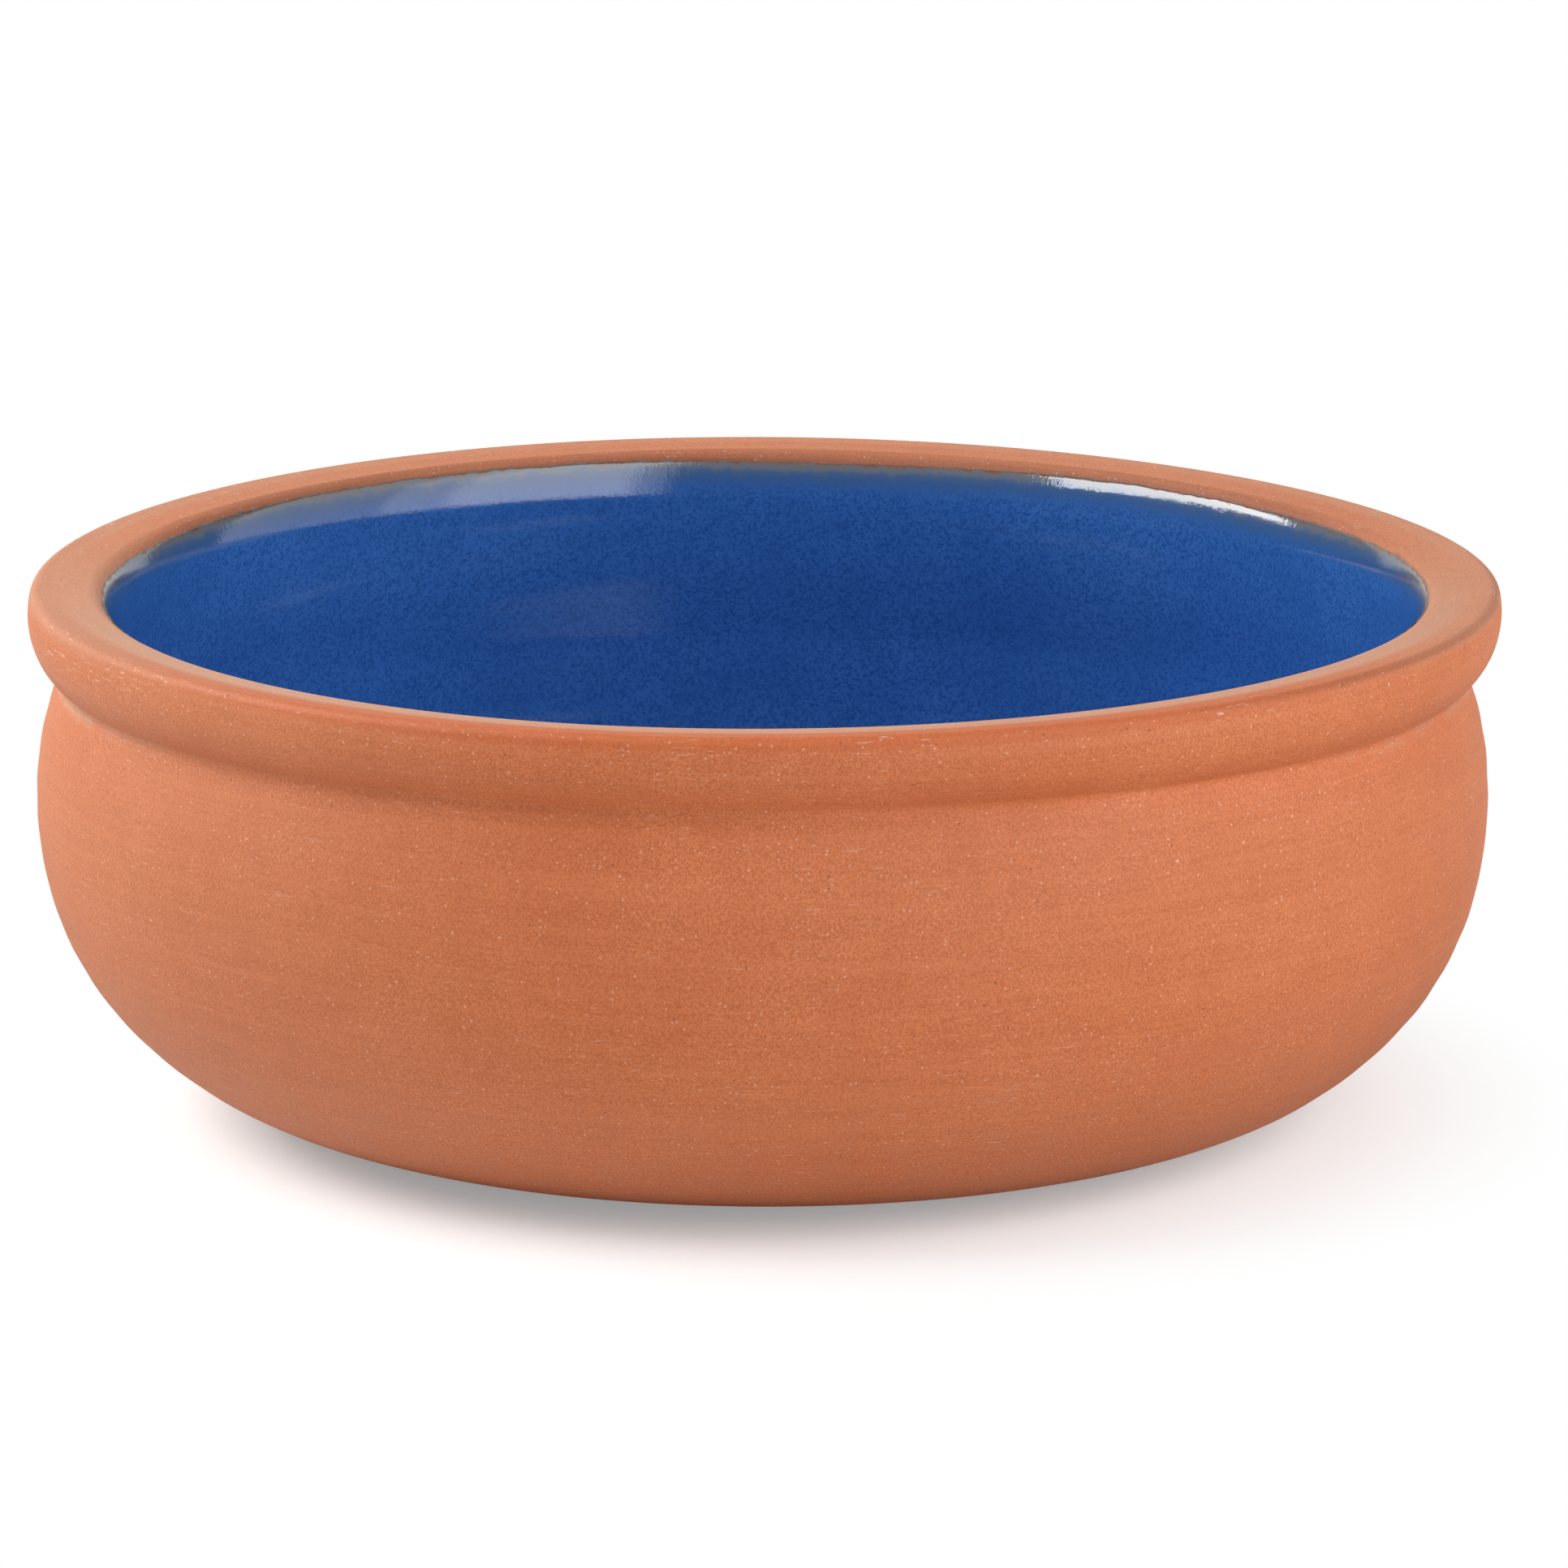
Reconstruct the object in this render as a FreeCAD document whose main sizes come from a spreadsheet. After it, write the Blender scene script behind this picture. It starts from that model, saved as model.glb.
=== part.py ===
# Cazuela: a round, shallow terracotta dish with a flat foot, a full belly and a
# rolled rim above a turned crease. The dish is one piece of clay, so it is one solid,
# revolved from one closed section. Radii are measured from the upright axis and
# heights from the flat foot, in millimetres.
import FreeCAD, Part
import math
import os
import Sketcher

# Driving dimensions: alias, value, meaning.
SIZES = (
    ("bowl_height", 72.5, "foot to the top of the rim"),
    ("rim_radius", 100.0, "axis to the widest point of the rolled rim"),
    ("rim_depth", 11.6, "top of the rim down to the crease of the neck"),
    ("rim_shoulder", 3.4, "top of the rim down to its widest point"),
    ("rim_edge_round", 1.3, "rounding between the rim's face and its top"),
    ("rim_flat", 8.0, "breadth of the rim's top, from its widest point to the lip"),
    ("rim_fall", 0.5, "drop of the rim's top towards the inside"),
    ("neck_setback", 4.4, "depth of the crease behind the rim's widest point"),
    ("neck_round", 1.2, "rounding in the crease of the neck"),
    ("lip_width", 3.9, "breadth of the lip's curve into the dish"),
    ("lip_depth", 7.5, "height of the lip's curve down to the throat"),
    ("belly_setback", 1.1, "how far the belly stays behind the rim"),
    ("belly_height", 43.4, "height at which the belly is widest"),
    ("belly_pull", 19.1, "how far below its widest point the belly stays upright"),
    ("haunch_inset", 19.2, "haunch of the flank, in from the belly"),
    ("haunch_rise", 4.0, "haunch of the flank, up from the foot"),
    ("foot_radius", 46.0, "radius of the flat foot"),
    ("underside_run", 23.2, "shallow underside, out from the foot"),
    ("underside_rise", 2.9, "shallow underside, up from the foot"),
    ("wall_thickness", 8.0, "wall at the belly"),
    ("floor_thickness", 8.0, "clay under the inside floor"),
    ("corner_run", 41.0, "inside corner, from the wall in to the flat floor"),
    ("corner_rise", 28.0, "inside corner, from the flat floor up to the wall"),
    ("corner_pull", 20.0, "how far the inside corner keeps the direction of each end"),
)

# Places that follow from the driving dimensions: alias, formula.
PLACES = (
    ("neck_radius", "=rim_radius - neck_setback"),
    ("neck_height", "=bowl_height - rim_depth"),
    ("rim_height", "=bowl_height - rim_shoulder"),
    ("rim_curve", "=(neck_setback ^ 2 + (rim_height - neck_height) ^ 2) / (2 * neck_setback)"),
    ("rim_centre", "=rim_radius - rim_curve"),
    ("rim_top_radius", "=rim_centre + sqrt(rim_curve ^ 2 - rim_shoulder ^ 2)"),
    ("lip_radius", "=rim_radius - rim_flat"),
    ("lip_height", "=bowl_height - rim_fall"),
    ("throat_radius", "=lip_radius - lip_width"),
    ("throat_height", "=lip_height - lip_depth"),
    ("lip_pull_radius", "=lip_radius - lip_width * quarter_pull"),
    ("lip_pull_height", "=throat_height + lip_depth * quarter_pull"),
    ("belly_radius", "=rim_radius - belly_setback"),
    ("belly_pull_height", "=belly_height - belly_pull"),
    ("haunch_radius", "=belly_radius - haunch_inset"),
    ("underside_radius", "=foot_radius + underside_run"),
    ("inside_radius", "=belly_radius - wall_thickness"),
    ("corner_height", "=floor_thickness + corner_rise"),
    ("corner_pull_height", "=corner_height - corner_pull"),
    ("floor_radius", "=inside_radius - corner_run"),
    ("corner_pull_radius", "=floor_radius + corner_pull"),
    ("wall_middle_height", "=(throat_height + corner_height) / 2"),
)

# Share of a quarter oval's half axis that the pull points of its cubic curve span.
QUARTER_PULL = 4 / 3 * (math.sqrt(2) - 1)

# The sketcher's numbers for its origin and axes.
ORIGIN = -1
LEVEL_AXIS = -1
UPRIGHT_AXIS = -2

# The sketcher counts the points of a line or curve from 1.
START, END, CENTRE = range(1, 4)

CURVE_DEGREE = 3
RING_TOLERANCE = 1e-4


def fill_sheet(doc):
    """Writes the driving dimensions and the places that follow from them."""
    sheet = doc.addObject("Spreadsheet::Sheet", "Sizes")
    rows = list(SIZES)
    rows.append(("quarter_pull", QUARTER_PULL, "pull of a quarter oval"))
    rows.extend((alias, formula, "") for alias, formula in PLACES)
    for number, (alias, content, meaning) in enumerate(rows, 1):
        sheet.set(f"A{number}", alias)
        sheet.set(f"B{number}", str(content))
        sheet.set(f"C{number}", meaning)
        sheet.setAlias(f"B{number}", alias)
    doc.recompute()
    return sheet


class Section:
    """The closed outline of the cut clay on one side of the axis, in a sketch.

    A place is a pair of sheet aliases, its radius and its height. None stands for the
    axis or for the level of the foot.
    """

    def __init__(self, body, sheet):
        self.sheet = sheet
        self.sketch = body.newObject("Sketcher::SketchObject", "Section")
        planes = [part for part in body.Origin.OriginFeatures if part.Role == "XZ_Plane"]
        self.sketch.AttachmentSupport = (planes[0], [""])
        self.sketch.MapMode = "FlatFace"

    def read(self, alias):
        return 0.0 if alias is None else float(getattr(self.sheet, alias))

    def at(self, place):
        return FreeCAD.Vector(self.read(place[0]), self.read(place[1]), 0)

    def fix(self, kind, shape, point, alias, axis):
        """Binds one distance of a point to the sheet, or keeps the point on an axis."""
        if alias is None:
            self.sketch.addConstraint(Sketcher.Constraint("PointOnObject", shape, point, axis))
            return
        distance = Sketcher.Constraint(kind, ORIGIN, START, shape, point, self.read(alias))
        number = self.sketch.addConstraint(distance)
        self.sketch.setExpression(f"Constraints[{number}]", f"Sizes.{alias}")

    def fix_radius(self, shape, point, alias):
        self.fix("DistanceX", shape, point, alias, UPRIGHT_AXIS)

    def fix_height(self, shape, point, alias):
        self.fix("DistanceY", shape, point, alias, LEVEL_AXIS)

    def fix_place(self, shape, point, place):
        self.fix_radius(shape, point, place[0])
        self.fix_height(shape, point, place[1])

    def join(self, first, first_point, second, second_point):
        joint = Sketcher.Constraint("Coincident", first, first_point, second, second_point)
        self.sketch.addConstraint(joint)

    def line(self, start, end):
        return self.sketch.addGeometry(Part.LineSegment(self.at(start), self.at(end)), False)

    def arc(self, centre, start, end):
        """Adds an arc that runs anticlockwise about its centre from start to end."""
        middle = self.at(centre)
        first = self.at(start) - middle
        last = self.at(end) - middle
        circle = Part.Circle(middle, FreeCAD.Vector(0, 0, 1), first.Length)
        angles = [math.atan2(ray.y, ray.x) for ray in (first, last)]
        return self.sketch.addGeometry(Part.ArcOfCircle(circle, *angles), False)

    def curve(self, poles):
        """Adds a smooth curve and binds every pole but the first, which joins a neighbour."""
        spans = len(poles) - CURVE_DEGREE
        ends = CURVE_DEGREE + 1
        repeats = [ends] + [1] * (spans - 1) + [ends]
        knots = [knot / spans for knot in range(spans + 1)]
        spline = Part.BSplineCurve()
        points = [self.at(pole) for pole in poles]
        spline.buildFromPolesMultsKnots(points, repeats, knots, False, CURVE_DEGREE)
        shape = self.sketch.addGeometry(spline, False)
        self.sketch.exposeInternalGeometry(shape)
        for number, pole in enumerate(poles[1:], 2):
            self.fix_place(shape + number, CENTRE, pole)
        return shape


def draw_outside(section):
    """Foot, underside, flank and belly up to the crease; returns the first and last part."""
    foot = section.line((None, None), ("foot_radius", None))
    section.join(foot, START, ORIGIN, START)
    section.fix_place(foot, END, ("foot_radius", None))
    flank = section.curve((
        ("foot_radius", None),
        ("underside_radius", "underside_rise"),
        ("haunch_radius", "haunch_rise"),
        ("belly_radius", "belly_pull_height"),
        ("belly_radius", "belly_height"),
    ))
    section.join(foot, END, flank, START)
    drop = section.read("neck_height") - section.read("belly_height")
    inset = section.read("belly_radius") - section.read("neck_radius")
    bulge = (drop ** 2 + inset ** 2) / (2 * inset)
    centre = FreeCAD.Vector(section.read("belly_radius") - bulge, section.read("belly_height"), 0)
    circle = Part.Circle(centre, FreeCAD.Vector(0, 0, 1), bulge)
    belly = section.sketch.addGeometry(Part.ArcOfCircle(circle, 0, math.asin(drop / bulge)), False)
    section.join(flank, END, belly, START)
    section.fix_height(belly, CENTRE, "belly_height")
    section.fix_place(belly, END, ("neck_radius", "neck_height"))
    return foot, belly


def draw_rim(section, belly):
    """The rolled face above the crease, the sloping top and the lip down to the throat."""
    face = section.arc(
        ("rim_centre", "rim_height"),
        ("neck_radius", "neck_height"),
        ("rim_top_radius", "bowl_height"),
    )
    section.join(belly, END, face, START)
    section.fix_place(face, CENTRE, ("rim_centre", "rim_height"))
    section.fix_height(face, END, "bowl_height")
    top = section.line(("rim_top_radius", "bowl_height"), ("lip_radius", "lip_height"))
    section.join(face, END, top, START)
    section.fix_place(top, END, ("lip_radius", "lip_height"))
    lip = section.curve((
        ("lip_radius", "lip_height"),
        ("lip_pull_radius", "lip_height"),
        ("throat_radius", "lip_pull_height"),
        ("throat_radius", "throat_height"),
    ))
    section.join(top, END, lip, START)
    return lip


def draw_inside(section, lip, foot):
    """The inside wall, its round corner and the floor, closed along the axis."""
    wall = section.curve((
        ("throat_radius", "throat_height"),
        ("throat_radius", "wall_middle_height"),
        ("inside_radius", "wall_middle_height"),
        ("inside_radius", "corner_height"),
    ))
    section.join(lip, END, wall, START)
    corner = section.curve((
        ("inside_radius", "corner_height"),
        ("inside_radius", "corner_pull_height"),
        ("corner_pull_radius", "floor_thickness"),
        ("floor_radius", "floor_thickness"),
    ))
    section.join(wall, END, corner, START)
    floor = section.line(("floor_radius", "floor_thickness"), (None, "floor_thickness"))
    section.join(corner, END, floor, START)
    section.fix_place(floor, END, (None, "floor_thickness"))
    core = section.line((None, "floor_thickness"), (None, None))
    section.join(floor, END, core, START)
    section.join(core, END, foot, START)


def ring_edge(shape, radius, height):
    """Name of the edge that runs round the bowl at this radius and height."""
    for number, edge in enumerate(shape.Edges, 1):
        curve = edge.Curve
        if not isinstance(curve, Part.Circle):
            continue
        if abs(curve.Radius - radius) > RING_TOLERANCE:
            continue
        if abs(curve.Center.z - height) <= RING_TOLERANCE:
            return f"Edge{number}"
    raise ValueError(f"no edge at radius {radius} and height {height}")


def round_ring(doc, body, sheet, base, name, place, size):
    """Rounds the ring edge at a place with a radius from the sheet."""
    radius, height = (float(getattr(sheet, alias)) for alias in place)
    fillet = body.newObject("PartDesign::Fillet", name)
    fillet.Base = (base, [ring_edge(base.Shape, radius, height)])
    fillet.setExpression("Radius", f"Sizes.{size}")
    doc.recompute()
    return fillet


def make_bowl(doc, sheet):
    """Revolves the section and rounds its crease and its rim."""
    body = doc.addObject("PartDesign::Body", "Bowl")
    body.Label = "bowl"
    section = Section(body, sheet)
    foot, belly = draw_outside(section)
    lip = draw_rim(section, belly)
    draw_inside(section, lip, foot)
    doc.recompute()
    turned = body.newObject("PartDesign::Revolution", "Turned")
    turned.Profile = section.sketch
    turned.ReferenceAxis = (section.sketch, ["V_Axis"])
    turned.Angle = 360
    doc.recompute()
    crease = round_ring(doc, body, sheet, turned, "Crease", ("neck_radius", "neck_height"), "neck_round")
    round_ring(doc, body, sheet, crease, "RimEdge", ("rim_top_radius", "bowl_height"), "rim_edge_round")
    return body


def check(doc, bodies):
    """Stops if any object of the document failed or a solid isn't sound."""
    for item in doc.Objects:
        if "Invalid" in item.State or "Error" in item.State:
            raise RuntimeError(f"{item.Name} did not recompute: {item.State}")
    for body in bodies:
        shape = body.Shape
        if shape.isNull() or not shape.isValid() or len(shape.Solids) != 1:
            raise RuntimeError(f"{body.Label} is not one sound solid")


def main():
    doc = FreeCAD.newDocument("Cazuela")
    sheet = fill_sheet(doc)
    bodies = [make_bowl(doc, sheet)]
    doc.recompute()
    check(doc, bodies)
    os.makedirs("parts", exist_ok=True)
    for body in bodies:
        body.Shape.exportStep(f"parts/{body.Label}.step")
        box = body.Shape.optimalBoundingBox(False)
        print(f"{body.Label}: {box.XLength:.2f} x {box.YLength:.2f} x {box.ZLength:.2f} mm")
        print(f"{body.Label}: {body.Shape.Volume / 1000:.1f} cubic centimetres")


main()
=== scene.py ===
# Cazuela: the looks of a round, shallow terracotta dish. The clay is bare outside and on
# the rolled rim, and a glossy cobalt glaze coats the inside from just below the rim's lip.
import math
import random

import bpy
import numpy as np
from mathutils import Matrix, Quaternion, Vector


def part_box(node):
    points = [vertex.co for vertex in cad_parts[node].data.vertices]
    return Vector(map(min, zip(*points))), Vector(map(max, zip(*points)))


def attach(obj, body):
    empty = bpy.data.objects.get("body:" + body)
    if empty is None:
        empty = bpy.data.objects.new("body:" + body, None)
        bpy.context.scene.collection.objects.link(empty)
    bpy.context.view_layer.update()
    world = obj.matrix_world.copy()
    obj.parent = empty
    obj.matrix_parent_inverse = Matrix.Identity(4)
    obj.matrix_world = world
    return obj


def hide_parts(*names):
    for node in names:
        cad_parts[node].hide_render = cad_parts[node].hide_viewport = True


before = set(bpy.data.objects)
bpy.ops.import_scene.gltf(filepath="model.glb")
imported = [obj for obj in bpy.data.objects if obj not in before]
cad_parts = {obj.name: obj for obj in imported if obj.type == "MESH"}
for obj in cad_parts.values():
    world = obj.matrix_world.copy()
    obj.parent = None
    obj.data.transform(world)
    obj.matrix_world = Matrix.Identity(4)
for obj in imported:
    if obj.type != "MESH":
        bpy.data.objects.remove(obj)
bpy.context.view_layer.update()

MM = 0.001

# The turned section in millimetres: radii from the upright axis, heights from the foot.
BOWL_HEIGHT = 72.5
RIM_RADIUS = 100.0
RIM_DEPTH = 11.6
RIM_SHOULDER = 3.4
RIM_EDGE_ROUND = 1.3
RIM_FLAT = 8.0
RIM_FALL = 0.5
NECK_SETBACK = 4.4
NECK_ROUND = 1.2
LIP_WIDTH = 3.9
LIP_DEPTH = 7.5
BELLY_RADIUS = 98.9
BELLY_HEIGHT = 43.4
BELLY_PULL = 19.1
HAUNCH = (79.7, 4.0)
UNDERSIDE = (69.2, 2.9)
FOOT_RADIUS = 46.0
WALL_THICKNESS = 8.0
FLOOR_THICKNESS = 8.0
CORNER_RUN = 41.0
CORNER_RISE = 28.0
CORNER_PULL = 20.0
QUARTER_PULL = 4 / 3 * (math.sqrt(2) - 1)

# The turned dish is a little uneven. Each wave round it has a number of turns, then a cosine
# part and a sine part in millimetres by the angle from its front. The waves of the rim grow
# over its two heights, and those of the crease grow to the middle one of its three heights and
# fade to the last. The dish leans to the right by the offset at each height.
RIM_LIFT = ((1, -0.018, -0.122), (2, 0.264, 0.189), (3, -0.086, -0.005))
RIM_LIFT_HEIGHTS = (35.0, 68.5)
RIM_SWELL = ((2, -0.097, 0.014), (3, 0.304, -0.084))
CREASE_LIFT = ((1, 0.834, 0.061), (2, 0.467, -0.155))
CREASE_LIFT_HEIGHTS = (46.9, 60.9, 69.0)
LEAN_HEIGHTS = (0.0, 12.0, 43.0, 72.5)
LEAN_OFFSETS = (0.86, 0.43, -0.15, 0.16)

# It is drawn narrower and lower by this much, so that with its unevenness it stays within the bowl's box in
# model.glb.
ROOM_FOR_WARP = 0.3
SETTLE = 0.25
CAD_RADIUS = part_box("bowl")[1].x / MM
DRAWN_SCALE = (CAD_RADIUS - ROOM_FOR_WARP) / RIM_RADIUS

# The meshes: segments round the axis, points on the lines of the section, the step at which
# the section is read, and half the distance in steps over which the strength of marks blends.
CLAY_SEGMENTS = 336
GLAZE_SEGMENTS = 640
LINE_POINTS = 50
ARC_POINTS = 200
CURVE_POINTS = 400
FINE_STEP = 0.05
MARK_BLEND = 60

# Slow waves of the potter's fingers: how many, their height, the shortest and longest length
# along the section, and how their height swells round the dish.
FINGER_WAVES = 7
FINGER_HEIGHT = 0.028
FINGER_LENGTHS = (5.0, 13.0)
FINGER_SWELL = (0.6, 0.4)

# The glaze: how far below the lip's inner edge it starts, the degrees, spread and depth of a
# dip in its edge, and how it lies on the clay. The bead behind its edge has a distance from
# the edge, a spread and a height.
GLAZE_START = 2.2
GLAZE_DIP = (173.0, 25.0, 0.55)
GLAZE_THICKNESS = 0.2
GLAZE_BEAD = (0.8, 0.5, 0.03)
GLAZE_EDGE_ROUND = 0.45
GLAZE_SINK = 0.06
GLAZE_BACK = 0.2

# The glaze's ragged edge: the turns of its waves in one circle, how far such a wave moves the
# edge, and the smallest and largest share of that which a wave is given.
EDGE_WAVES = (
    (range(2, 10), 0.08),
    (range(30, 75, 5), 0.02),
    (range(110, 260, 11), 0.012),
)

EDGE_WAVE_SIZES = (0.5, 1.5)

# Rings of the glaze's mesh by the distance from its edge: where the zones of its face end and
# how many rings each has, then the rings of its back, near the edge and from a depth on.
BEAD_ZONE_END = 3.0
WALL_ZONE_END = 30.0
EDGE_RINGS = 6
BEAD_RINGS = 14
WALL_RINGS = 34
FLOOR_RINGS = 62
BACK_EDGE_DEPTHS = (0.0, 0.5, 2.0, 5.0, 9.0)
BACK_START = 14.0
BACK_RINGS = 22

# The seed of the finger marks and of the glaze's ragged edge.
SEED = 4

# The camera's distance, its elevation in degrees, and what it looks at, in metres; its lens in
# millimetres.
CAMERA_DISTANCE = 1.2
CAMERA_ELEVATION = 13.6
CAMERA_TARGET_HEIGHT = 0.035
CAMERA_AIM_RIGHT = 0.00278
CAMERA_AIM_UP = 0.00823
CAMERA_LENS = 201.06
SENSOR_WIDTH = 36.0


def point(radius, height):
    return np.array([radius, height], float)


def arc(centre, radius, start, end):
    """Points on a circle from one angle to another."""
    angles = np.linspace(start, end, ARC_POINTS)[:, None]
    return centre + radius * np.hstack([np.cos(angles), np.sin(angles)])


def pull_curve(start, first_pull, second_pull, end):
    """A cubic curve that leaves start and reaches end along its two pull points."""
    share = np.linspace(0, 1, CURVE_POINTS)[:, None]
    rest = 1 - share
    near_start = rest ** 3 * start + 3 * rest ** 2 * share * first_pull
    return near_start + 3 * rest * share ** 2 * second_pull + share ** 3 * end


def straight(start, end):
    """Points on a line from start to end."""
    return np.linspace(start, end, LINE_POINTS)


def angle_of(place, centre):
    return math.atan2(place[1] - centre[1], place[0] - centre[0])


def crossing(centre_a, radius_a, centre_b, radius_b):
    """The crossing of two circles that lies to the right of the way from a to b."""
    span = centre_b - centre_a
    distance = np.linalg.norm(span)
    ahead = span / distance
    along = (distance ** 2 + radius_a ** 2 - radius_b ** 2) / (2 * distance)
    across = math.sqrt(radius_a ** 2 - along ** 2)
    return centre_a + along * ahead + across * np.array([ahead[1], -ahead[0]])


def outside_stretches():
    """Foot, flank, belly, crease and rolled rim: name, points, mesh step and strength of marks.

    The rim's outer edge is a small arc that touches the rim's face and its top.
    """
    foot = point(FOOT_RADIUS, 0)
    belly = point(BELLY_RADIUS, BELLY_HEIGHT)
    belly_pull = point(BELLY_RADIUS, BELLY_HEIGHT - BELLY_PULL)
    underside = point(*UNDERSIDE)
    haunch = point(*HAUNCH)
    middle = (underside + 2 * haunch + belly_pull) / 4
    lower_flank = pull_curve(foot, underside, (underside + haunch) / 2, middle)
    upper_flank = pull_curve(middle, (haunch + belly_pull) / 2, belly_pull, belly)

    neck = point(RIM_RADIUS - NECK_SETBACK, BOWL_HEIGHT - RIM_DEPTH)
    drop = neck[1] - BELLY_HEIGHT
    inset = BELLY_RADIUS - neck[0]
    belly_curve = (drop ** 2 + inset ** 2) / (2 * inset)
    belly_centre = point(BELLY_RADIUS - belly_curve, BELLY_HEIGHT)
    face_height = BOWL_HEIGHT - RIM_SHOULDER
    rim_curve = (NECK_SETBACK ** 2 + (face_height - neck[1]) ** 2) / (2 * NECK_SETBACK)
    rim_centre = point(RIM_RADIUS - rim_curve, face_height)

    crease = crossing(belly_centre, belly_curve + NECK_ROUND, rim_centre, rim_curve + NECK_ROUND)
    belly_end = angle_of(crease, belly_centre)
    rim_start = angle_of(crease, rim_centre)

    top = point(rim_centre[0] + math.sqrt(rim_curve ** 2 - RIM_SHOULDER ** 2), BOWL_HEIGHT)
    lip = point(RIM_RADIUS - RIM_FLAT, BOWL_HEIGHT - RIM_FALL)
    inward = (lip - top) / np.linalg.norm(lip - top)
    down = np.array([-inward[1], inward[0]])
    offset_start = top + down * RIM_EDGE_ROUND - rim_centre
    reach = rim_curve - RIM_EDGE_ROUND
    back = offset_start @ inward
    travel = -back - math.sqrt(back ** 2 - offset_start @ offset_start + reach ** 2)
    edge_centre = rim_centre + offset_start + travel * inward
    rim_end = angle_of(edge_centre, rim_centre)
    flat_start = edge_centre - down * RIM_EDGE_ROUND
    edge_end = angle_of(flat_start, edge_centre)

    return [
        ("foot", straight(point(0, 0), foot), 3.0, 0.0),
        ("lower_flank", lower_flank, 1.1, 0.7),
        ("upper_flank", upper_flank, 1.1, 1.0),
        ("belly", arc(belly_centre, belly_curve, 0, belly_end), 0.65, 0.8),
        ("crease", arc(crease, NECK_ROUND, belly_end + math.pi, rim_start + math.pi), 0.2, 0.1),
        ("rim", arc(rim_centre, rim_curve, rim_start, rim_end), 0.38, 0.45),
        ("rim_edge", arc(edge_centre, RIM_EDGE_ROUND, rim_end, edge_end), 0.16, 0.3),
        ("rim_top", straight(flat_start, lip), 0.5, 0.3),
    ]


def inside_stretches():
    """Lip, wall, round corner and floor, down to the axis, with the same four values each."""
    lip = point(RIM_RADIUS - RIM_FLAT, BOWL_HEIGHT - RIM_FALL)
    throat = lip - point(LIP_WIDTH, LIP_DEPTH)
    inside_radius = BELLY_RADIUS - WALL_THICKNESS
    corner_height = FLOOR_THICKNESS + CORNER_RISE
    floor_edge = point(inside_radius - CORNER_RUN, FLOOR_THICKNESS)
    lip_pull = lip - point(LIP_WIDTH * QUARTER_PULL, 0)
    throat_pull = throat + point(0, LIP_DEPTH * QUARTER_PULL)
    halfway = (throat[1] + corner_height) / 2
    wall_end = point(inside_radius, corner_height)
    wall = pull_curve(throat, point(throat[0], halfway), point(inside_radius, halfway), wall_end)
    floor_pull = floor_edge + point(CORNER_PULL, 0)
    corner = pull_curve(wall_end, wall_end - point(0, CORNER_PULL), floor_pull, floor_edge)
    return [
        ("lip", pull_curve(lip, lip_pull, throat_pull, throat), 0.35, 0.3),
        ("wall", wall, 1.4, 0.6),
        ("corner", corner, 1.8, 0.7),
        ("floor", straight(floor_edge, point(0, FLOOR_THICKNESS)), 3.0, 0.4),
    ]


def lengths_along(points):
    """The distance along a line to each of its points."""
    return np.concatenate([[0], np.cumsum(np.linalg.norm(np.diff(points, axis=0), axis=1))])


class Section:
    """The clay's outline on one side of the axis, read by the distance along it."""

    def __init__(self, stretches):
        self.start = {}
        self.steps = []
        points = []
        marks = []
        done = 0.0
        for name, line, step, strength in stretches:
            lengths = lengths_along(line)
            total = lengths[-1]
            self.start[name] = done
            fine = np.arange(0, total - FINE_STEP / 2, FINE_STEP)
            points.append(np.stack([np.interp(fine, lengths, line[:, axis]) for axis in (0, 1)], 1))
            marks.append(np.full(len(fine), strength))
            rings = max(2, round(total / step))
            self.steps.append(done + np.linspace(0, total, rings, endpoint=False))
            done += total
        points.append(stretches[-1][1][-1:])
        marks.append([stretches[-1][3]])
        self.length = done
        self.points = np.concatenate(points)
        self.along = lengths_along(self.points)
        self.along *= done / self.along[-1]
        ways = np.gradient(self.points, self.along, axis=0)
        ways /= np.linalg.norm(ways, axis=1, keepdims=True)
        self.normals = np.stack([ways[:, 1], -ways[:, 0]], 1)
        spread = np.full(2 * MARK_BLEND, 1 / (2 * MARK_BLEND))
        padded = np.pad(np.concatenate(marks), MARK_BLEND, mode="edge")
        self.marks = np.convolve(padded, spread, mode="same")[MARK_BLEND:-MARK_BLEND]

    def read(self, values, along):
        """One of the section's values at each distance along it."""
        return np.interp(along, self.along, values)

    def rings(self):
        """The distances at which the clay's mesh has its rings."""
        return np.append(np.concatenate(self.steps), self.length)


def finger_waves(draw):
    """Each wave's length along the section, turns, phase, swells round the dish and their phase."""
    waves = []
    for _ in range(FINGER_WAVES):
        length = draw.uniform(*FINGER_LENGTHS)
        turns = draw.choice((-1, 0, 0, 1))
        phase = draw.uniform(0, math.tau)
        swells = draw.randint(1, 3)
        waves.append((length, turns, phase, swells, draw.uniform(0, math.tau)))
    return waves


def finger_marks(along, angles, waves):
    """Height of the throwing marks in millimetres at each distance and angle."""
    total = 0.0
    steady, swelling = FINGER_SWELL
    for length, turns, phase, swells, swell_phase in waves:
        swell = steady + swelling * np.sin(swells * angles + swell_phase)
        total = total + swell * np.sin(math.tau * along / length + turns * angles + phase)
    return total * FINGER_HEIGHT


def ease(value, low, high):
    """The value's place between low and high, eased and held at both ends."""
    share = np.clip((value - low) / (high - low), 0, 1)
    return share * share * (3 - 2 * share)


def waves_round(waves, angles):
    """The sum of the waves of an uneven edge at each angle."""
    return sum(
        cosine * np.cos(turns * angles) + sine * np.sin(turns * angles)
        for turns, cosine, sine in waves
    )


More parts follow.
